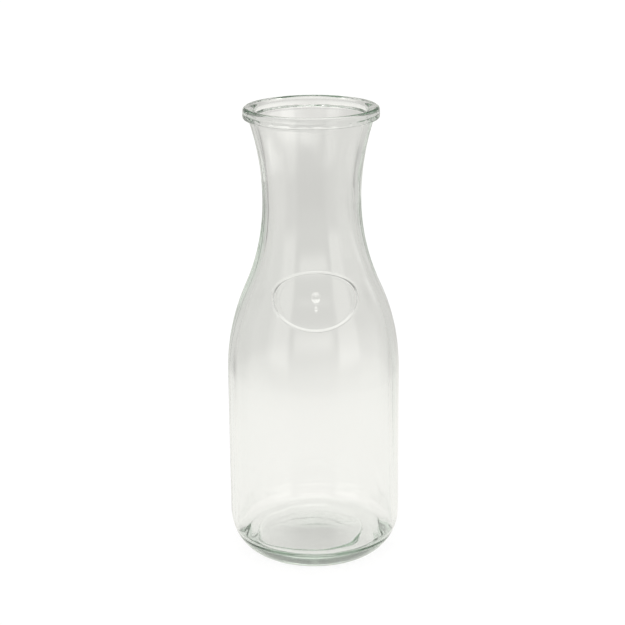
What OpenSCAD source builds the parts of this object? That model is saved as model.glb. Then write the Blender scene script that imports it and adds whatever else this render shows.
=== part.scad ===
// One-litre glass milk bottle: a single blown and pressed piece of glass, drawn as its
// moulded zones. Every zone is a separate solid that meets its neighbours face to face
// on a plane or a cylinder. Z is up, the axis of the bottle is the Z axis, the table is
// at z = 0, and the oval plaque faces -Y.

/* [Overall] */
// Height from the table to the top of the rim
height = 255; // [252:0.5:260]
// Outside diameter of the straight body
body_d = 95.5; // [93:0.5:98]

/* [Mouth] */
// Outside diameter of the rim band
rim_d = 74; // [72:0.5:76]
// Height of the rim band
rim_h = 6.2; // [5.5:0.1:7]
// Outside diameter of the collar where the rim band stands on it
collar_d = 68; // [67:0.5:69]
// Straight bore of the mouth
mouth_d = 61.2; // [60.4:0.2:61.6]
// Depth of the straight bore below the top of the rim
bore_depth = 5; // [4:0.5:6]

/* [Neck and shoulder] */
// Outside diameter at the waist of the neck
waist_d = 53.8; // [52:0.2:56]
// Height of the waist of the neck
waist_z = 204; // [200:1:208]
// Height at which the straight body turns into the shoulder
shoulder_z = 107; // [104:1:110]
// Radius of the shoulder's convex curve, seen from the side
shoulder_r = 118.5; // [115:0.5:122]

/* [Heel and base] */
// Height of the heel's outside curve
heel_h = 23; // [21:0.5:24]
// Width of the heel's outside curve
heel_w = 19.4; // [19:0.2:20.4]
// Outside diameter of the ring that the bottle stands on
foot_d = 63.6; // [62:0.2:65]
// Height of the inside floor above the table
floor_z = 10.5; // [9.5:0.5:12]
// Diameter of the flat part of the inside floor
floor_d = 77; // [74:0.5:79]
// Rise of the hollow under the base at its centre
push_up = 1.4; // [1:0.2:2.4]

/* [Wall] */
// Thickness of the straight body, measured level
wall_body = 4; // [3.5:0.1:4.5]
// Thickness of the shoulder, measured level
wall_shoulder = 4.9; // [4.4:0.1:5.2]
// Thickness of the neck, measured level
wall_neck = 3.9; // [3.6:0.1:4.4]

/* [Plaque] */
// Width of the raised oval line, across its middle
plaque_w = 45.8; // [40:0.2:48]
// Height of the raised oval line, between its middles
plaque_h = 29.4; // [24:0.2:30]
// Width of the raised line
bead_w = 1.6; // [1:0.1:1.6]
// Height of the raised line above the glass
bead_h = 0.8; // [0.4:0.1:0.8]

/* [Hidden] */
$fn = 96;

body_r = body_d / 2;
rim_r = rim_d / 2;
collar_r = collar_d / 2;
mouth_r = mouth_d / 2;
waist_r = waist_d / 2;
foot_r = foot_d / 2;
floor_r = floor_d / 2;
inner_body_r = body_r - wall_body;

// Heights of the short zones between the rim band and the neck, and of other offsets
collar_h = 5.8;
throat_h = 11;
neck_below_waist = 28;
body_above_heel = 3;
floor_corner_h = 6;

// Levels at which one zone ends and the next begins
rim_z = height - rim_h;
bore_z = height - bore_depth;
collar_z = rim_z - collar_h;
neck_top = collar_z - throat_h;
neck_bottom = waist_z - neck_below_waist;
heel_top = heel_h + body_above_heel;

// The rim band's top is a low crest between two elliptical roundings: width, height
rim_top = [2.2, 2];
rim_lip = [rim_r - rim_top[0] - mouth_r, 1.9];
rim_under_round = 1.2;

// The neck's concave curve touches the shoulder's convex one, which gives its radius.
neck_run = waist_r - body_r + shoulder_r;
neck_rise = waist_z - shoulder_z;
neck_r = (neck_run ^ 2 + neck_rise ^ 2 - shoulder_r ^ 2) / (2 * (shoulder_r - neck_run));
join_z = shoulder_z + shoulder_r * sin(atan2(neck_rise, neck_run + neck_r));

// The collar's flare leaves the waist upright and reaches collar_d under the rim band.
flare_h = rim_z - waist_z;
flare_w = collar_r - waist_r;
flare_r = (flare_h ^ 2 + flare_w ^ 2) / (2 * flare_w);

// The heel's outside curve touches a straight line that rises from the foot.
heel_in = body_r - heel_w;
heel_start = 2 * atan((foot_r - heel_in) / heel_w) - 90;
touch_r = heel_in + heel_w * cos(heel_start);
touch_z = heel_h * (1 + sin(heel_start));

// The cylinder between the heel and the base, and the heel's underside where they part
joint_gap = 0.2;
joint_r = foot_r + joint_gap;
foot_rise = (joint_r - foot_r) * touch_z / (touch_r - foot_r);

// Top of the rounded corner between the inside floor and the wall
corner_top = floor_z + floor_corner_h;

// The foot is flat outside this radius. The bearing ring ends at the cut inside it.
bearing_w = 1.3;
bearing_in = foot_r - bearing_w;
bearing_cut_r = 25;

// The fine raised ring on the inside floor: radius, width, rise
floor_ring = [29.3, 1.4, 0.8];

// Spacing of the levels at which curved walls are sampled, and of finer ones
level_step = 3;
fine_step = 0.6;

// The oval's middle, and the two small buttons inside it: height, radius, rise
plaque_z = 156.2;
plaque_sides = 90;
// Levels between which the plaque lies, counted in steps from the start of the shoulder
skin_steps = [11, 22];
nub = [158.3, 2.6, 0.8];
dot = [152.6, 1.1, 0.5];

// Outside radius of the glass at a level above the heel
function outer_r(z) =
    z < shoulder_z ? body_r
    : z < join_z ? body_r - shoulder_r + sqrt(shoulder_r ^ 2 - (z - shoulder_z) ^ 2)
    : z < waist_z ? waist_r + neck_r - sqrt(neck_r ^ 2 - (waist_z - z) ^ 2)
    : waist_r + flare_r - sqrt(flare_r ^ 2 - (z - waist_z) ^ 2);

// Level thickness of the wall from the straight body up to the bore
function wall(z) = lookup(z, [
    [shoulder_z, wall_body],
    [join_z, wall_shoulder],
    [waist_z, wall_neck],
    [bore_z, outer_r(bore_z) - mouth_r]
]);

// Inside radius of the glass at a level, from the shoulder up to the straight bore
function inner_r(z) = outer_r(z) - wall(z);

// Height of the hollow under the base at a radius
function hollow_z(r) = push_up * (1 - (r / bearing_in) ^ 2) ^ 2;

// Levels from low to high, both ends included
function levels(low, high, step = level_step) =
    concat([for (z = [low:step:high - step / 4]) z], [high]);

function outer_line(low, high) = [for (z = levels(low, high)) [outer_r(z), z]];

// From the high level down to the low one
function inner_line(low, high, step = level_step) =
    let (up = levels(low, high, step))
        [for (i = [len(up) - 1:-1:0]) [inner_r(up[i]), up[i]]];

// Points of an elliptical arc, with its centre, half axes and end angles
function arc(centre, half, from, to, count = 8) = [
    for (i = [0:count])
        let (a = from + (to - from) * i / count)
            [centre[0] + half[0] * cos(a), centre[1] + half[1] * sin(a)]
];

// A zone of the wall between two levels: outside line up, inside line down
module wall_zone(low, high) {
    rotate_extrude()
        polygon(concat(outer_line(low, high), inner_line(low, high)));
}

// The solid inside the bottle's outside surface, raised by a skin, between two levels
module filled(low, high, skin = 0) {
    rotate_extrude()
        polygon(concat(
            [[0, low]],
            [for (p = outer_line(low, high)) [p[0] + skin, p[1]]],
            [[0, high]]
        ));
}

// A skin laid on the shoulder's outside surface, over the levels that the plaque covers
module shoulder_skin(skin) {
    low = shoulder_z + skin_steps[0] * level_step;
    high = shoulder_z + skin_steps[1] * level_step;
    difference() {
        filled(low, high, skin);
        filled(low, high);
    }
}

// A level prism from the axis towards -Y whose section is an ellipse in the XZ plane
module front_prism(z, width, tall) {
    translate([0, 0, z])
        rotate([90, 0, 0])
            linear_extrude(body_r)
                polygon([
                    for (i = [0:plaque_sides - 1])
                        let (a = 360 * i / plaque_sides)
                            [width / 2 * cos(a), tall / 2 * sin(a)]
                ]);
}

// The band around the mouth that a lid or a foil cap grips
module rim_band() {
    under = rim_under_round;
    crest_r = rim_r - rim_top[0];
    color("#a9bdb1")
        rotate_extrude()
            polygon(concat(
                arc([rim_r - under, rim_z + under], [under, under], -90, 0),
                arc([crest_r, height - rim_top[1]], rim_top, 0, 90),
                arc([crest_r, height - rim_lip[1]], rim_lip, 90, 180),
                inner_line(rim_z, bore_z, fine_step)
            ));
}

// The top of the flare, under the rim band
module collar() {
    color("#b7c6bc") wall_zone(collar_z, rim_z);
}

// The flare between the collar and the neck
module throat() {
    color("#c3cdc5") wall_zone(neck_top, collar_z);
}

// The narrow waist that a hand closes around
module neck() {
    color("#c9cfc8") wall_zone(neck_bottom, neck_top);
}

// The slope from the body up to the neck, which carries the plaque
module shoulder() {
    color("#ccd0c9") wall_zone(shoulder_z, neck_bottom);
}

// The raised oval line on the front of the shoulder
module plaque_ring() {
    color("#dfe3dd")
        intersection() {
            shoulder_skin(bead_h);
            difference() {
                front_prism(plaque_z, plaque_w + bead_w, plaque_h + bead_w);
                front_prism(plaque_z, plaque_w - bead_w, plaque_h - bead_w);
            }
        }
}

// A low round button on the front of the shoulder: level, radius, rise
module button(mark) {
    intersection() {
        shoulder_skin(mark[2]);
        translate([0, 0, mark[0]]) rotate([90, 0, 0]) cylinder(h = body_r, r = mark[1]);
    }
}

// The two plain buttons in the middle of the oval
module plaque_mark() {
    color("#e6e9e4") {
        button(nub);
        button(dot);
    }
}

// The straight wall of the body
module body_wall() {
    color("#dcdfd9")
        rotate_extrude()
            polygon([
                [inner_body_r, heel_top], [body_r, heel_top],
                [body_r, shoulder_z], [inner_body_r, shoulder_z]
            ]);
}

// The rounded corner between the body and the base
module heel() {
    corner = [inner_body_r - floor_r, corner_top - floor_z];
    color("#b9cabf")
        rotate_extrude()
            polygon(concat(
                [[joint_r, foot_rise]],
                arc([heel_in, heel_h], [heel_w, heel_h], heel_start, 0, 18),
                [[body_r, heel_top], [inner_body_r, heel_top]],
                arc([floor_r, corner_top], corner, 0, -90, 12),
                [[joint_r, floor_z]]
            ));
}

// The thick ring that the bottle stands on, with the fine raised ring on its top
module bearing_ring() {
    half_ring = [floor_ring[1] / 2, floor_ring[2]];
    color("#a7bfb0")
        rotate_extrude()
            polygon(concat(
                [for (r = levels(bearing_cut_r, bearing_in)) [r, hollow_z(r)]],
                [[foot_r, 0], [joint_r, foot_rise], [joint_r, floor_z]],
                arc([floor_ring[0], floor_z], half_ring, 0, 180),
                [[bearing_cut_r, floor_z]]
            ));
}

// The thick disc between the inside floor and the hollow under the base
module base_plate() {
    color("#c2cfc6")
        rotate_extrude()
            polygon(concat(
                [for (r = levels(0, bearing_cut_r)) [r, hollow_z(r)]],
                [[bearing_cut_r, floor_z], [0, floor_z]]
            ));
}

rim_band();
collar();
throat();
neck();
shoulder();
plaque_ring();
plaque_mark();
body_wall();
heel();
bearing_ring();
base_plate();
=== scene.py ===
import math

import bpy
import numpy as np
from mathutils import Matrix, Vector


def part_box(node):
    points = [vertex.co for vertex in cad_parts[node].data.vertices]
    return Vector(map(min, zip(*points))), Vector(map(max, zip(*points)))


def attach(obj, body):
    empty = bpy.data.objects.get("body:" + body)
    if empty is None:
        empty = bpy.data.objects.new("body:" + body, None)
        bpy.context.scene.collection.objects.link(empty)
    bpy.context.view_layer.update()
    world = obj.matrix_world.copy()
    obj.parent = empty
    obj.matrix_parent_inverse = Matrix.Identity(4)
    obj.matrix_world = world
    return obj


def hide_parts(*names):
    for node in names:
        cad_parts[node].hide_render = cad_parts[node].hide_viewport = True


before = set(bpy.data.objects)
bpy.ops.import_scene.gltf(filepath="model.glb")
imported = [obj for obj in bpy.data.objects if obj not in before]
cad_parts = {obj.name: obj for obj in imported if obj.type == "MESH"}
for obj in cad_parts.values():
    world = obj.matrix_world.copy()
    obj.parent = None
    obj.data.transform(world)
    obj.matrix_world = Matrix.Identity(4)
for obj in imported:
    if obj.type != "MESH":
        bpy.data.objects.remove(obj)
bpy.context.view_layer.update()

# A one-litre glass milk bottle. The glass is one revolved surface, sampled on a grid of
# rings, and cut into the CAD model's zones: each zone is its own closed piece, and the
# faces where two zones meet are marked, so that the material leaves them out of sight.
# Everything is worked out in millimetres and written to the meshes in metres.

MM = 0.001


def box_mm(node):
    """A CAD node's lowest and highest corners, in millimetres."""
    low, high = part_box(node)
    return [v / MM for v in low], [v / MM for v in high]


# ---- Sizes ----------------------------------------------------------------------------

def top(node):
    """A CAD node's highest level, in millimetres."""
    return round(box_mm(node)[1][2], 2)


def bottom(node):
    """A CAD node's lowest level, in millimetres."""
    return round(box_mm(node)[0][2], 2)


# The CAD model's levels, read from its nodes' boxes
HEIGHT = top("rim_band")
RIM_Z = bottom("rim_band")
COLLAR_Z = bottom("collar")
NECK_TOP = top("neck")
NECK_BOTTOM = top("shoulder")
SHOULDER_Z = bottom("shoulder")
HEEL_TOP = top("heel")
FLOOR_Z = top("base_plate")

# The outline's radii and its other levels, as in the CAD model
RIM_R = 37.0
COLLAR_R = 34.0
MOUTH_R = 30.6
BORE_Z = HEIGHT - 5.0
WAIST_R = 26.9
WAIST_Z = 204.0
SHOULDER_R = 118.5
BODY_R = 47.75
FOOT_R = 31.8
HEEL_W = 19.4
HEEL_H = 23.0
FLOOR_R = 38.5
CORNER_TOP = 16.5
JOINT_R = 32.0
BEARING_IN = 30.5
BEARING_CUT_R = 25.0
PUSH_UP = 1.4
WALL_BODY = 4.0
WALL_SHOULDER = 4.9
WALL_NECK = 3.9

# The rim band: width and height of the rounding outside its crest and of the lip inside
# it, the lip's slope at the crest, and the roundings under the band
RIM_TOP = (1.7, 2.0)
RIM_LIP = (RIM_R - RIM_TOP[0] - MOUTH_R, 1.9)
LIP_SLOPE = 0.19
RIM_UNDER_ROUND = 1.2
FILLET = 0.8

# The raised oval on the shoulder, and the round buttons in it: level, radius, rise
PLAQUE_Z = 156.2
PLAQUE_HALF = (22.9, 14.7)
BEAD_W = 1.6
BEAD_H = 0.8
BEAD_REACH = 0.55  # where the line ends, from its middle, as a share of its width
BUTTONS = ((158.3, 2.6, 0.8), (152.6, 1.1, 0.5))

# The raised ring on the inside floor, and its centre, which stands off the bottle's axis
FLOOR_RING_R = 29.0
FLOOR_RING_W = 1.4
FLOOR_RING_H = 0.8
FLOOR_RING_REACH = 1.1  # where it ends, from its middle, as a share of half its width
FLOOR_RING_AT = (-2.6, 1.2)
FOLLOW_R = 12.0  # the floor's grid follows the ring's centre fully from this radius on

# The fine lines that the mould's two halves leave at +X and -X, and the fading of their
# ends: the distance from the table and from the rim's top, and its length
SEAM_W = 0.7
SEAM_H = 0.12
SEAM_FOOT = (4.0, 3.0)
SEAM_HEAD = (3.0, 2.0)

# The uneven line where the straight bore ends, and its waves: size, waves around, phase
BEND_W = 0.9
BEND_H = 0.40
BEND_EVEN = 0.7
BEND_WAVES = ((0.2, 9, 0.8), (0.2, 23, 0.0), (0.1, 41, 0.0))

# How far the inside's centre stands to the right of the axis, by levels
SHIFT_LEVELS = (40, 110, 140, 165, 190, 215, 232, 250)
SHIFTS = (0.0, 0.3, 0.9, 0.5, -0.5, -1.0, -0.6, 0.0)

INNER_BODY_R = BODY_R - WALL_BODY
HEEL_IN = BODY_R - HEEL_W
HEEL_START = 2 * math.degrees(math.atan((FOOT_R - HEEL_IN) / HEEL_W)) - 90
NECK_RUN = WAIST_R - BODY_R + SHOULDER_R
NECK_RISE = WAIST_Z - SHOULDER_Z
NECK_R = (NECK_RUN**2 + NECK_RISE**2 - SHOULDER_R**2) / (2 * (SHOULDER_R - NECK_RUN))
JOIN_Z = SHOULDER_Z + SHOULDER_R * math.sin(math.atan2(NECK_RISE, NECK_RUN + NECK_R))
FLARE_H = RIM_Z - WAIST_Z
FLARE_W = COLLAR_R - WAIST_R
FLARE_R = (FLARE_H**2 + FLARE_W**2) / (2 * FLARE_W)

# Guards: points closer than NEAR are one point, levels closer than LEVEL_NEAR are one
# level, and nothing is divided by less than TINY
NEAR = 1e-6
LEVEL_NEAR = 0.01
TINY = 1e-9

# Distances between neighbouring rings of the grid
BASE_STEP = 1.0
BEARING_STEP = 0.8
HEEL_STEP = 0.6
BODY_STEP = 3.0
WALL_STEP = 2.0
THROAT_STEP = 1.5
COLLAR_STEP = 1.0
BORE_STEP = 0.3
FLOOR_STEP = 0.5
FLOOR_RING_STEP = 0.22
PLAQUE_STEPS = (0.16, 0.4)  # over the oval's top and bottom, and between them
PLAQUE_FINE = (1.5, 6.0)  # how far the fine rings reach beyond its top and bottom, and within

# Number of steps along each curve
HEEL_COUNT = 26
FILLET_COUNT = 6
UNDER_COUNT = 10
CREST_COUNT = 20
LIP_COUNT = 24
CORNER_COUNT = 18


# ---- Outline --------------------------------------------------------------------------

def smooth(t):
    """From 0 to 1 while t goes from 0 to 1, without a corner at either end."""
    t = np.clip(t, 0.0, 1.0)
    return t * t * (3 - 2 * t)


def outer_r(z):
    """Outside radius of the glass above the heel."""
    if z < SHOULDER_Z:
        return BODY_R
    if z < JOIN_Z:
        return BODY_R - SHOULDER_R + math.sqrt(SHOULDER_R**2 - (z - SHOULDER_Z) ** 2)
    if z < WAIST_Z:
        return WAIST_R + NECK_R - math.sqrt(NECK_R**2 - (WAIST_Z - z) ** 2)
    return WAIST_R + FLARE_R - math.sqrt(FLARE_R**2 - (z - WAIST_Z) ** 2)


def wall(z):
    """Level thickness of the wall from the straight body up to the bore."""
    return float(np.interp(z, (SHOULDER_Z, JOIN_Z, WAIST_Z, BORE_Z),
                           (WALL_BODY, WALL_SHOULDER, WALL_NECK, outer_r(BORE_Z) - MOUTH_R)))


def inner_r(z):
    """Inside radius of the glass from the shoulder up to the straight bore."""
    return outer_r(z) - wall(z)


def steps(low, high, size):
    """Evenly spaced numbers from low to high, both included, about size apart."""
    return np.linspace(low, high, max(2, round(abs(high - low) / size) + 1))


def arc(centre, half, start, end, count):
    """Points of an elliptical arc, by its centre, half axes and end angles in degrees."""
    turns = np.radians(np.linspace(start, end, count + 1))
    return [(centre[0] + half[0] * math.cos(a), centre[1] + half[1] * math.sin(a))
            for a in turns]


def hollow_z(r):
    """Height of the hollow under the base at a radius."""
    return PUSH_UP * (1 - (r / BEARING_IN) ** 2) ** 2


def lip(crest_r):
    """The rim's inner edge, from its crest in to the bore: a slope that curves down."""
    width, drop = RIM_LIP
    curved = drop - LIP_SLOPE * width
    points = []
    for a in np.radians(np.linspace(0, 90, LIP_COUNT + 1)):
        inward = width * math.sqrt(math.sin(a))
        points.append((crest_r - inward,
                       HEIGHT - LIP_SLOPE * inward - curved * (1 - math.cos(a))))
    return points


class Outline:
    """The glass's whole outline as (r, z) rings, from the axis under the base, up the
    outside, over the rim and down the inside to the axis on the floor. cut(name)
    remembers the last ring, so that the zones can be taken from it."""

    def __init__(self):
        self.rings = []
        self.cuts = {}

    def add(self, points):
        for p in points:
            if not self.rings or math.dist(p, self.rings[-1]) > NEAR:
                self.rings.append((float(p[0]), float(p[1])))

    def cut(self, name):
        self.cuts[name] = len(self.rings) - 1


def bottle_outline():
    line = Outline()
    add, cut = line.add, line.cut
    # Under the base
    add([(r, hollow_z(r)) for r in steps(0, BEARING_CUT_R, BASE_STEP)])
    cut("hollow edge")
    add([(r, hollow_z(r)) for r in steps(BEARING_CUT_R, BEARING_IN, BEARING_STEP)])
    add([(FOOT_R, 0.0)])
    # Up the outside, on a straight line that the heel's curve touches
    heel = arc((HEEL_IN, HEEL_H), (HEEL_W, HEEL_H), HEEL_START, 0, HEEL_COUNT)
    rise = heel[0][1] / (heel[0][0] - FOOT_R)
    add([(JOINT_R, (JOINT_R - FOOT_R) * rise)])
    cut("foot")
    add([(r, (r - FOOT_R) * rise) for r in steps(JOINT_R, heel[0][0], HEEL_STEP)])
    add(heel)
    add([(BODY_R, HEEL_TOP)])
    cut("heel out")
    add([(BODY_R, z) for z in steps(HEEL_TOP, SHOULDER_Z, BODY_STEP)])
    cut("body out")
    # Over the shoulder, with finer rings where the oval's line lies
    far, near = PLAQUE_HALF[1] + PLAQUE_FINE[0], PLAQUE_HALF[1] - PLAQUE_FINE[1]
    levels = [SHOULDER_Z, PLAQUE_Z - far, PLAQUE_Z - near]
    levels += [PLAQUE_Z + near, PLAQUE_Z + far, NECK_BOTTOM]
    fine, middle = PLAQUE_STEPS
    for low, high, size in zip(levels, levels[1:], (WALL_STEP, fine, middle, fine, WALL_STEP)):
        add([(outer_r(z), z) for z in steps(low, high, size)])
    cut("shoulder out")
    add([(outer_r(z), z) for z in steps(NECK_BOTTOM, NECK_TOP, WALL_STEP)])
    cut("neck out")
    add([(outer_r(z), z) for z in steps(NECK_TOP, COLLAR_Z, THROAT_STEP)])
    cut("throat out")
    # The fillet between the collar and the rim band's underside
    fillet_z = RIM_Z - FILLET
    add([(outer_r(z), z) for z in steps(COLLAR_Z, fillet_z, COLLAR_STEP)])
    add(arc((outer_r(fillet_z) + FILLET, fillet_z), (FILLET, FILLET), 180, 90, FILLET_COUNT))
    cut("collar out")
    # Around the rim band
    under, crest_r = RIM_UNDER_ROUND, RIM_R - RIM_TOP[0]
    add(arc((RIM_R - under, RIM_Z + under), (under, under), -90, 0, UNDER_COUNT))
    add(arc((crest_r, HEIGHT - RIM_TOP[1]), RIM_TOP, 0, 90, CREST_COUNT))
    cut("rim top")
    add(lip(crest_r))
    add([(MOUTH_R, z) for z in steps(HEIGHT - RIM_LIP[1], BORE_Z, BORE_STEP)])
    add([(inner_r(z), z) for z in steps(BORE_Z, RIM_Z, BORE_STEP)])
    cut("rim in")
    # Down the inside
    add([(inner_r(z), z) for z in steps(RIM_Z, COLLAR_Z, COLLAR_STEP)])
    cut("collar in")
    add([(inner_r(z), z) for z in steps(COLLAR_Z, NECK_TOP, COLLAR_STEP)])
    cut("throat in")
    add([(inner_r(z), z) for z in steps(NECK_TOP, NECK_BOTTOM, WALL_STEP)])
    cut("neck in")
    add([(inner_r(z), z) for z in steps(NECK_BOTTOM, SHOULDER_Z, WALL_STEP)])
    cut("shoulder in")
    add([(INNER_BODY_R, z) for z in steps(SHOULDER_Z, HEEL_TOP, BODY_STEP)])
    cut("body in")
    add([(INNER_BODY_R, z) for z in steps(HEEL_TOP, CORNER_TOP, WALL_STEP)])
    corner = (INNER_BODY_R - FLOOR_R, CORNER_TOP - FLOOR_Z)
    add(arc((FLOOR_R, CORNER_TOP), corner, 0, -90, CORNER_COUNT))
    add([(r, FLOOR_Z) for r in steps(FLOOR_R, JOINT_R, FLOOR_STEP)])
    cut("floor edge")
    add([(r, FLOOR_Z) for r in steps(JOINT_R, BEARING_CUT_R, FLOOR_RING_STEP)])
    cut("plate edge")
    add([(r, FLOOR_Z) for r in steps(BEARING_CUT_R, 0, BASE_STEP)])
    cut("floor axis")
    return line


# ---- The glass as a grid --------------------------------------------------------------

# Angles about the axis, in degrees from -Y towards +X, and the steps between them
PLAQUE_ENDS = (21.0, 42.0)  # the oval's two ends lie between these, on both sides
END_STEP = 0.22
MIDDLE_STEP = 0.5
BACK_STEP = 2.2
SEAM_ANGLES = (90.0, 270.0)
SEAM_HALF_ANGLE = 1.2
SEAM_STEP = 0.3


def turns():
    """Angles of the grid's columns in radians, closest at the oval's ends and the seams."""
    inner, outer = PLAQUE_ENDS
    edges = [-outer, -inner, inner, outer]
    sizes = [END_STEP, MIDDLE_STEP, END_STEP]
    for seam in SEAM_ANGLES:
        edges += [seam - SEAM_HALF_ANGLE, seam + SEAM_HALF_ANGLE]
        sizes += [BACK_STEP, SEAM_STEP]
    edges.append(360 - outer)
    sizes.append(BACK_STEP)
    spans = [steps(low, high, size)[:-1] for low, high, size in zip(edges, edges[1:], sizes)]
    return np.radians(np.concatenate(spans))


def slopes(points, gap_after, gap_before):
    """The derivative at each of three neighbouring points, for uneven gaps."""
    before, here, after = points
    return ((after - here) * gap_before**2 + (here - before) * gap_after**2) / (
        gap_after * gap_before * (gap_after + gap_before))


def ripple(turn, z, waves):
    """A smooth unevenness around and along the bottle: a sum of slanted waves."""
    total = 0.0
    for size, around, along, phase in waves:
        total = total + size * np.sin(around * turn + z / along + phase)
    return total


# Unevenness of the glass: size in mm, waves around, mm along per radian, phase
OUTSIDE_WAVES = (
    (0.05, 2, 31.0, 0.4), (0.035, 3, -23.0, 2.1), (0.02, 7, 37.0, 4.4), (0.012, 13, -19.0, 1.2),
)
INSIDE_WAVES = (
    (0.22, 2, 29.0, 1.9), (0.14, 3, -37.0, 0.7), (0.08, 5, 33.0, 3.6),
    (0.055, 8, -61.0, 5.1), (0.040, 13, 90.0, 2.5), (0.028, 21, -120.0, 0.3),
)
# More of it in the flare: the same, and the levels between which it fades in
FLARE_WAVES = (
    (0.060, 4, 8.5, 1.1), (0.045, -6, 6.5, 3.0), (0.035, 9, -7.5, 0.6), (0.020, 14, 5.0, 2.2),
)
FLARE_LEVELS = (200.0, 226.0)
OUTSIDE_FADE = 20.0  # the outside's unevenness grows over this height above the table
RIM_FADE = 25.0  # all of it fades over this height below the rim's top
RIM_SHARE = 0.3  # what is left of the outside's there

# Dimples of the floor: size in mm, mm along x and along y per radian, phase. They fade
# over FLOOR_FADE towards the floor's edge.
FLOOR_FADE = 8.0
FLOOR_WAVES = (
    (0.045, 4.1, 9.0, 0.2), (0.035, -5.3, 3.3, 1.7), (0.020, 2.9, -5.6, 3.9), (0.012, 6.0, 2.1, 5.2),
)


def relief(turn, r, z):
    """Height of the raised oval line and the buttons on the shoulder's front."""
    x = r * np.sin(turn)
    facing = np.cos(turn) > 0
    across, up = x / PLAQUE_HALF[0], (z - PLAQUE_Z) / PLAQUE_HALF[1]
    reach = np.hypot(across, up)
    # Distance from the oval line, by its gradient
    slope = np.hypot(across / PLAQUE_HALF[0], up / PLAQUE_HALF[1]) / np.maximum(reach, TINY)
    away = np.abs(reach - 1) / np.maximum(slope, TINY)
    height = BEAD_H * np.sqrt(smooth(1 - away / (BEAD_W * BEAD_REACH)))
    for level, radius, rise in BUTTONS:
        gap = np.hypot(x, z - level) / radius
        height = height + rise * np.clip(1 - gap**2, 0, 1)
    return np.where(facing, height, 0.0)


def on_floor(level):
    """Whether a level is the inside floor's."""
    return np.abs(level - FLOOR_Z) < LEVEL_NEAR


def seam(turn, r, level):
    """Height of the mould's fine lines at +X and -X."""
    away = np.abs(r * np.cos(turn))
    foot = smooth((level - SEAM_FOOT[0]) / SEAM_FOOT[1])
    ends = foot * smooth((HEIGHT - SEAM_HEAD[0] - level) / SEAM_HEAD[1])
    return SEAM_H * smooth(1 - away / SEAM_W) * ends


def bend_line(turn, level):
    """Height of the uneven line that the plunger leaves where the straight bore ends."""
    share = BEND_EVEN
    for size, around, phase in BEND_WAVES:
        share = share + size * np.sin(around * turn + phase)
    return BEND_H * share * smooth(1 - np.abs(level - BORE_Z) / BEND_W)


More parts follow.
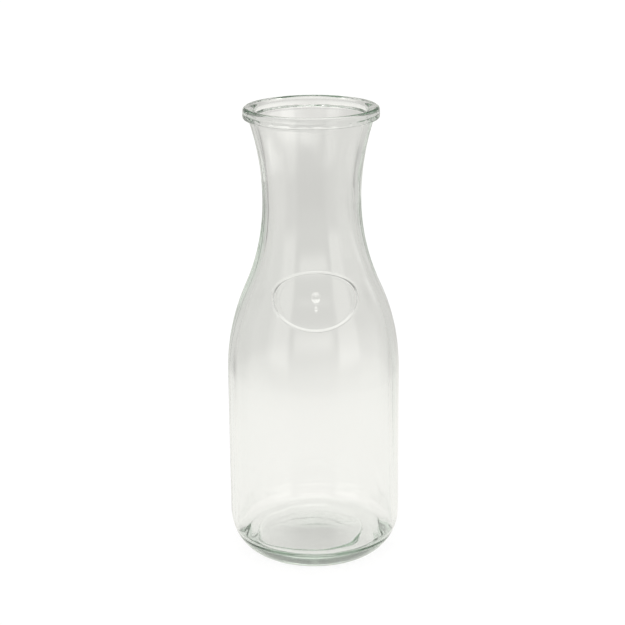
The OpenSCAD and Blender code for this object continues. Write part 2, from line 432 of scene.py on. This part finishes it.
class Glass:
    """The bottle's surface: a grid of points and normals, one row for each ring."""

    def __init__(self, line):
        self.line = line
        rings = np.array(line.rings)
        self.turn = turns()
        r, z = rings[:, 0], rings[:, 1]
        # Which way the outline faces, from its direction
        along = np.gradient(rings, axis=0)
        along /= np.maximum(np.linalg.norm(along, axis=1), TINY)[:, None]
        face = np.stack([along[:, 1], -along[:, 0]], axis=1)
        turn = self.turn[None, :]
        radius, level = r[:, None], z[:, None]
        inside = self.inside_share()[:, None]
        lift = self.unevenness(turn, level, inside)
        fade = np.where(level < CORNER_TOP, smooth(radius / FLOOR_R) ** 2, 1.0)
        marks = relief(turn, radius, level) * (level > SHOULDER_Z) + seam(turn, radius, level)
        lift = lift * fade + (1 - inside) * marks + self.floor_marks(turn, radius, level)
        lift = lift + inside * bend_line(turn, level)
        rr = radius + lift * face[:, :1]
        zz = level + lift * face[:, 1:]
        shift = inside * self.centre_shift(level) * fade
        follow = self.floor_follow(radius, level)
        self.points = np.stack(
            [rr * np.sin(turn) + shift + follow * FLOOR_RING_AT[0],
             follow * FLOOR_RING_AT[1] - rr * np.cos(turn), zz * np.ones_like(turn)], axis=2)
        self.normals = self.find_normals()

    def inside_share(self):
        """0 on the outside, 1 on the inside, and smooth over the rim."""
        count, cuts = len(self.line.rings), self.line.cuts
        share = np.zeros(count)
        share[cuts["collar in"]:] = 1.0
        span = cuts["collar in"] - cuts["rim top"]
        for i in range(span):
            share[cuts["rim top"] + i] = smooth(i / span)
        return share

    def unevenness(self, turn, level, inside):
        """How far the glass bulges at each point of the grid."""
        outside = ripple(turn, level, OUTSIDE_WAVES) * smooth(level / OUTSIDE_FADE)
        quiet = smooth((HEIGHT - level) / RIM_FADE)
        outside = outside * (RIM_SHARE + (1 - RIM_SHARE) * quiet)
        flare = smooth((level - FLARE_LEVELS[0]) / (FLARE_LEVELS[1] - FLARE_LEVELS[0]))
        waves = ripple(turn, level, INSIDE_WAVES) + flare * ripple(turn, level, FLARE_WAVES)
        return (1 - inside) * outside + inside * waves * quiet

    def floor_marks(self, turn, radius, level):
        """The dimples of the inside floor, and the fine raised ring on it."""
        x, y = radius * np.sin(turn), -radius * np.cos(turn)
        dimples = 0.0
        for size, across, along, phase in FLOOR_WAVES:
            dimples = dimples + size * np.sin(x / across + y / along + phase)
        dimples = dimples * smooth((FLOOR_R - radius) / FLOOR_FADE)
        away = np.abs(radius - FLOOR_RING_R)
        ring = FLOOR_RING_H * np.sqrt(smooth(FLOOR_RING_REACH - away / (FLOOR_RING_W / 2)))
        return (dimples + ring) * on_floor(level)

    def floor_follow(self, radius, level):
        """How much of the floor ring's way from the axis the floor's own grid follows."""
        share = smooth(radius / FOLLOW_R) * smooth((FLOOR_R - radius) / (FLOOR_R - JOINT_R))
        return share * on_floor(level)

    def centre_shift(self, level):
        """How far the inside's centre stands to the right of the axis."""
        return np.interp(level, SHIFT_LEVELS, SHIFTS)

    def find_normals(self):
        """Directions that the surface faces, from the neighbours of each point."""
        p = self.points
        gap = np.diff(np.concatenate([self.turn, [self.turn[0] + 2 * math.pi]]))
        after, before = gap[None, :, None], np.roll(gap, 1)[None, :, None]
        round_way = slopes((np.roll(p, 1, 1), p, np.roll(p, -1, 1)), after, before)
        span = np.linalg.norm(np.diff(p, axis=0), axis=2)[:, :, None]
        span = np.maximum(span, TINY)
        up_way = np.empty_like(p)
        up_way[1:-1] = slopes((p[:-2], p[1:-1], p[2:]), span[1:], span[:-1])
        up_way[0], up_way[-1] = p[1] - p[0], p[-1] - p[-2]
        normal = np.cross(round_way, up_way)
        length = np.linalg.norm(normal, axis=2)[:, :, None]
        normal = normal / np.maximum(length, TINY)
        normal[0], normal[-1] = (0, 0, -1), (0, 0, 1)
        return normal


# ---- Zones ----------------------------------------------------------------------------

JOINT_GAP = 0.005  # half of the gap between two zones, so that a ray meets both faces


def zone_piece(name, glass, loop, material):
    """A closed piece from the stretches of the outline that bound a zone, each a pair of
    ring numbers. A joint face closes the gap from each stretch to the next."""
    turn = glass.turn
    count = len(turn)
    rings, normals, jointed = [], [], []
    for first, last in loop:
        stretch = glass.points[first:last + 1].copy()
        for end, near in ((0, 1), (-1, -2)):
            inward = stretch[near] - stretch[end]
            inward /= np.maximum(np.linalg.norm(inward, axis=1), TINY)[:, None]
            at_axis = np.linalg.norm(stretch[end][:, :2], axis=1).max() < NEAR
            if not at_axis:
                stretch[end] += inward * JOINT_GAP
        rings.extend(stretch)
        normals.extend(glass.normals[first:last + 1])
        jointed.extend([False] * (last - first) + [True])
    points, faces, marks, where, facing = [], [], [], [], []
    for ring, normal in zip(rings, normals):
        if np.linalg.norm(ring[:, :2], axis=1).max() < NEAR:
            where.append([len(points)] * count)
            points.append(ring[0])
            facing.append(normal[0])
        else:
            where.append(list(range(len(points), len(points) + count)))
            points.extend(ring)
            facing.extend(normal)
    for k in range(len(rings)):
        here, there = where[k], where[(k + 1) % len(rings)]
        if here[0] == here[1] and there[0] == there[1]:
            continue
        for i in range(count):
            j = (i + 1) % count
            corners = [here[i], here[j], there[j], there[i]]
            face = [v for n, v in enumerate(corners) if v != corners[n - 1]]
            faces.append(face)
            marks.append(1.0 if jointed[k] else 0.0)
    mesh = bpy.data.meshes.new(name)
    mesh.from_pydata([tuple(p * MM) for p in points], [], faces)
    mesh.attributes.new("joint", "FLOAT", "FACE").data.foreach_set("value", marks)
    mesh.polygons.foreach_set("use_smooth", [True] * len(faces))
    mesh.materials.append(material)
    mesh.validate()
    mesh.normals_split_custom_set_from_vertices([tuple(n) for n in facing])
    piece = bpy.data.objects.new(name, mesh)
    bpy.context.scene.collection.objects.link(piece)
    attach(piece, "root")
    return piece


# ---- Materials ------------------------------------------------------------------------

IOR = 1.52
DEPTH_TINT = (0.55, 0.68, 0.58, 1.0)
DEPTH_DENSITY = 10.0  # per metre of glass
HAZE_SCALE = 45.0
HAZE_DETAIL = 3.0
HAZE_SPAN = (0.4, 0.8)  # values of the noise over which the roughness grows
HAZE_ROUGHNESS = (0.0, 0.03)
WHITE = (1.0, 1.0, 1.0, 1.0)


def glass_material():
    """Clear pressed glass with a faint green in its depth and slightly soft polish."""
    mat = bpy.data.materials.new("bottle_glass")
    mat.use_nodes = True
    tree = mat.node_tree
    tree.nodes.clear()
    make, link = tree.nodes.new, tree.links.new
    out = make("ShaderNodeOutputMaterial")
    glass = make("ShaderNodeBsdfPrincipled")
    glass.inputs["Base Color"].default_value = WHITE
    glass.inputs["Transmission Weight"].default_value = 1.0
    glass.inputs["IOR"].default_value = IOR
    place = make("ShaderNodeTexCoord")
    haze = make("ShaderNodeTexNoise")
    haze.inputs["Scale"].default_value = HAZE_SCALE
    haze.inputs["Detail"].default_value = HAZE_DETAIL
    link(place.outputs["Object"], haze.inputs["Vector"])
    polish = make("ShaderNodeMapRange")
    polish.inputs["From Min"].default_value = HAZE_SPAN[0]
    polish.inputs["From Max"].default_value = HAZE_SPAN[1]
    polish.inputs["To Min"].default_value = HAZE_ROUGHNESS[0]
    polish.inputs["To Max"].default_value = HAZE_ROUGHNESS[1]
    link(haze.outputs["Fac"], polish.inputs["Value"])
    link(polish.outputs["Result"], glass.inputs["Roughness"])
    clear = make("ShaderNodeBsdfTransparent")
    joint = make("ShaderNodeAttribute")
    joint.attribute_name = "joint"
    mix = make("ShaderNodeMixShader")
    link(joint.outputs["Fac"], mix.inputs["Fac"])
    link(glass.outputs["BSDF"], mix.inputs[1])
    link(clear.outputs["BSDF"], mix.inputs[2])
    link(mix.outputs["Shader"], out.inputs["Surface"])
    depth = make("ShaderNodeVolumeAbsorption")
    depth.inputs["Color"].default_value = DEPTH_TINT
    depth.inputs["Density"].default_value = DEPTH_DENSITY
    link(depth.outputs["Volume"], out.inputs["Volume"])
    return mat


# ---- Stage ----------------------------------------------------------------------------
# The camera sees a plain pale floor and room. The glass mirrors and bends a soft studio
# instead: a white table around the bottle, and a room with panels of light and of shade.

# The camera's turn about the bottle's axis, a little to the left of the oval's middle, its
# tilt below level and its roll, in degrees. Its place, in metres, is from before the turn.
# The studio stands square to the camera.
CAMERA_TURN = -2.4
CAMERA_DOWN = 16.79
CAMERA_ROLL = -0.55
CAMERA_AT = (-0.0003, -0.9316, 0.4203)
CAMERA_LENS = 100.8  # in millimetres, as the sensor's width
CAMERA_SENSOR = 36.0
CAMERA_NEAR = 0.01  # in metres

# The floor that the camera sees: half its width and how far it lies below the bottle's
# foot, both in metres, its paper, its glow, and the glow's share of it
FLOOR_HALF = 3.0
FLOOR_DROP = 0.0002
PAPER = (0.9, 0.9, 0.9, 1.0)
GLOW = 1.08
GLOW_SHARE = 0.85

# The table and the room that the glass sees
STUDIO_TINT = (1.0, 0.99, 0.955, 1.0)
TABLE_RADIUS = (0.20, 0.50)  # the table is fully white within, and gone beyond, in metres
TABLE_TONE = 0.93
SHADE_RADIUS = (0.005, 0.034)  # painted shade: the table is darker around the bottle's middle, as if the bottle shaded it, in metres
SHADE_TONE = 0.68
ROOM_TONE = 0.68
# Tones added to the room's: the side, how far round from the camera, how high, and the
# soft edge, all three in degrees, and the tone
PANELS = (
    ("both", (-20, 34), (-40, 16), 16, -0.22),
    ("both", (36, 66), (-4, 33), 10, 1.0),
    ("both", (66, 105), (-40, 60), 14, 0.25),
    ("both", (-20, 28), (35, 52), 15, 1.8),
    ("both", (126, 137), (-24, -13), 7, -0.18),
    ("left", (126, 137), (-24, -13), 7, -0.27),
    ("both", (-20, 26), (8, 17), 12, 1.4),
    ("both", (86, 120), (-60, -22), 10, 0.25),
    ("both", (162, 181), (-10, 5), 6, 0.28),
    ("both", (95, 181), (10, 60), 10, -0.35),
    ("both", (-1, 181), (66, 95), 12, 0.8),
)


class Nodes:
    """A node tree with short ways to make and join number nodes."""

    def __init__(self, owner):
        owner.use_nodes = True
        self.tree = owner.node_tree
        self.tree.nodes.clear()

    def make(self, kind, **links):
        node = self.tree.nodes.new(kind)
        for name, value in links.items():
            self.put(node.inputs[name.replace("_", " ")], value)
        return node

    def put(self, socket, value):
        if isinstance(value, bpy.types.NodeSocket):
            self.tree.links.new(value, socket)
        else:
            socket.default_value = value

    def math(self, operation, a, b=0.0):
        node = self.tree.nodes.new("ShaderNodeMath")
        node.operation = operation
        self.put(node.inputs[0], a)
        self.put(node.inputs[1], b)
        return node.outputs[0]

    def ramp(self, value, start, end, low=0.0, high=1.0):
        """Smoothly from low to high while value goes from start to end."""
        node = self.tree.nodes.new("ShaderNodeMapRange")
        node.interpolation_type = "SMOOTHSTEP"
        for socket, amount in zip(node.inputs, (value, start, end, low, high)):
            self.put(socket, amount)
        return node.outputs["Result"]

    def within(self, value, span, edge):
        """1 inside a span of values and 0 outside it, with soft edges."""
        rise = self.ramp(value, span[0] - edge / 2, span[0] + edge / 2)
        fall = self.ramp(value, span[1] - edge / 2, span[1] + edge / 2, 1.0, 0.0)
        return self.math("MULTIPLY", rise, fall)

    def mix(self, factor, first, second):
        node = self.tree.nodes.new("ShaderNodeMixShader")
        self.put(node.inputs[0], factor)
        self.put(node.inputs[1], first)
        self.put(node.inputs[2], second)
        return node.outputs["Shader"]


def floor_material():
    """Pale paper for the camera, and a white table that fades out for the glass, with a painted
    shade around the bottle's middle.
    """
    mat = bpy.data.materials.new("pale_floor")
    nodes = Nodes(mat)
    seen = nodes.make("ShaderNodeLightPath").outputs["Is Camera Ray"]
    place = nodes.make("ShaderNodeNewGeometry").outputs["Position"]
    away = nodes.make("ShaderNodeVectorMath", Vector=place)
    away.operation = "LENGTH"
    paper = nodes.make("ShaderNodeBsdfDiffuse", Color=PAPER).outputs["BSDF"]
    glow = nodes.make("ShaderNodeEmission", Color=WHITE, Strength=GLOW)
    pale = nodes.mix(GLOW_SHARE, paper, glow.outputs["Emission"])
    # Painted shade: the table's glow is dimmer near the bottle's middle, standing in for the
    # bottle's shadow
    painted_shade = nodes.ramp(away.outputs["Value"], *SHADE_RADIUS, SHADE_TONE, TABLE_TONE)
    table = nodes.make("ShaderNodeEmission", Color=STUDIO_TINT, Strength=painted_shade)
    clear = nodes.make("ShaderNodeBsdfTransparent").outputs["BSDF"]
    beyond = nodes.ramp(away.outputs["Value"], *TABLE_RADIUS)
    studio = nodes.mix(beyond, table.outputs["Emission"], clear)
    nodes.make("ShaderNodeOutputMaterial", Surface=nodes.mix(seen, studio, pale))
    return mat


def stage():
    """The floor, as a part of the stage."""
    half = FLOOR_HALF
    mesh = bpy.data.meshes.new("floor")
    mesh.from_pydata([(-half, -half, 0), (half, -half, 0), (half, half, 0), (-half, half, 0)],
                     [], [(0, 1, 2, 3)])
    mesh.materials.append(floor_material())
    floor = bpy.data.objects.new("floor", mesh)
    bpy.context.scene.collection.objects.link(floor)
    floor.location.z = -FLOOR_DROP


def studio_room():
    """A pale room for the camera, and soft panels of light and shade for the glass."""
    world = bpy.data.worlds.new("room")
    bpy.context.scene.world = world
    nodes = Nodes(world)
    way = nodes.make("ShaderNodeTexCoord").outputs["Generated"]
    square = nodes.make("ShaderNodeVectorRotate", Vector=way, Angle=-math.radians(CAMERA_TURN))
    square.rotation_type = "Z_AXIS"
    x, y, z = nodes.make("ShaderNodeSeparateXYZ", Vector=square.outputs["Vector"]).outputs
    turn = nodes.math("DEGREES", nodes.math("ARCTAN2", x, nodes.math("MULTIPLY", y, -1.0)))
    turns_by_side = {
        "both": nodes.math("ABSOLUTE", turn),
        "left": nodes.math("MULTIPLY", turn, -1.0),
    }
    height = nodes.math("DEGREES", nodes.math("ARCSINE", z))
    tone = ROOM_TONE
    for side, turn_span, height_span, edge, amount in PANELS:
        patch = nodes.math("MULTIPLY", nodes.within(turns_by_side[side], turn_span, edge),
                           nodes.within(height, height_span, edge))
        tone = nodes.math("ADD", tone, nodes.math("MULTIPLY", patch, amount))
    room = nodes.make("ShaderNodeBackground", Color=STUDIO_TINT, Strength=tone)
    pale = nodes.make("ShaderNodeBackground", Color=WHITE, Strength=1.0)
    seen = nodes.make("ShaderNodeLightPath").outputs["Is Camera Ray"]
    shown = nodes.mix(seen, room.outputs["Background"], pale.outputs["Background"])
    nodes.make("ShaderNodeOutputWorld", Surface=shown)


def camera():
    data = bpy.data.cameras.new("camera")
    data.lens = CAMERA_LENS
    data.sensor_width = CAMERA_SENSOR
    data.clip_start = CAMERA_NEAR
    eye = bpy.data.objects.new("camera", data)
    bpy.context.scene.collection.objects.link(eye)
    turn = Matrix.Rotation(math.radians(CAMERA_TURN), 3, "Z")
    tilt = Matrix.Rotation(math.radians(90 - CAMERA_DOWN), 3, "X")
    roll = Matrix.Rotation(math.radians(CAMERA_ROLL), 3, "Z")
    eye.location = turn @ Vector(CAMERA_AT)
    eye.rotation_euler = (turn @ tilt @ roll).to_euler()
    bpy.context.scene.camera = eye


# ---- Build ----------------------------------------------------------------------------

BOUNCES = 128
GLOSSY_BOUNCES = 64

line = bottle_outline()
cuts = line.cuts
glass = Glass(line)
bottle_glass = glass_material()
ZONES = {
    "rim_band": [(cuts["collar out"], cuts["rim in"])],
    "collar": [(cuts["throat out"], cuts["collar out"]), (cuts["rim in"], cuts["collar in"])],
    "throat": [(cuts["neck out"], cuts["throat out"]), (cuts["collar in"], cuts["throat in"])],
    "neck": [(cuts["shoulder out"], cuts["neck out"]), (cuts["throat in"], cuts["neck in"])],
    "shoulder": [(cuts["body out"], cuts["shoulder out"]), (cuts["neck in"], cuts["shoulder in"])],
    "body_wall": [(cuts["heel out"], cuts["body out"]), (cuts["shoulder in"], cuts["body in"])],
    "heel": [(cuts["foot"], cuts["heel out"]), (cuts["body in"], cuts["floor edge"])],
    "bearing_ring": [(cuts["hollow edge"], cuts["foot"]), (cuts["floor edge"], cuts["plate edge"])],
    "base_plate": [(0, cuts["hollow edge"]), (cuts["plate edge"], cuts["floor axis"])],
}
for node, loop in ZONES.items():
    piece = zone_piece(node + "_glass", glass, loop, bottle_glass)
    if node == "shoulder":
        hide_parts("shoulder", "plaque_ring", "plaque_mark")
    else:
        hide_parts(node)

stage()
studio_room()
camera()
cycles = bpy.context.scene.cycles
cycles.max_bounces = BOUNCES
cycles.transmission_bounces = BOUNCES
cycles.glossy_bounces = GLOSSY_BOUNCES
cycles.transparent_max_bounces = BOUNCES
bpy.context.scene.view_settings.view_transform = "Standard"
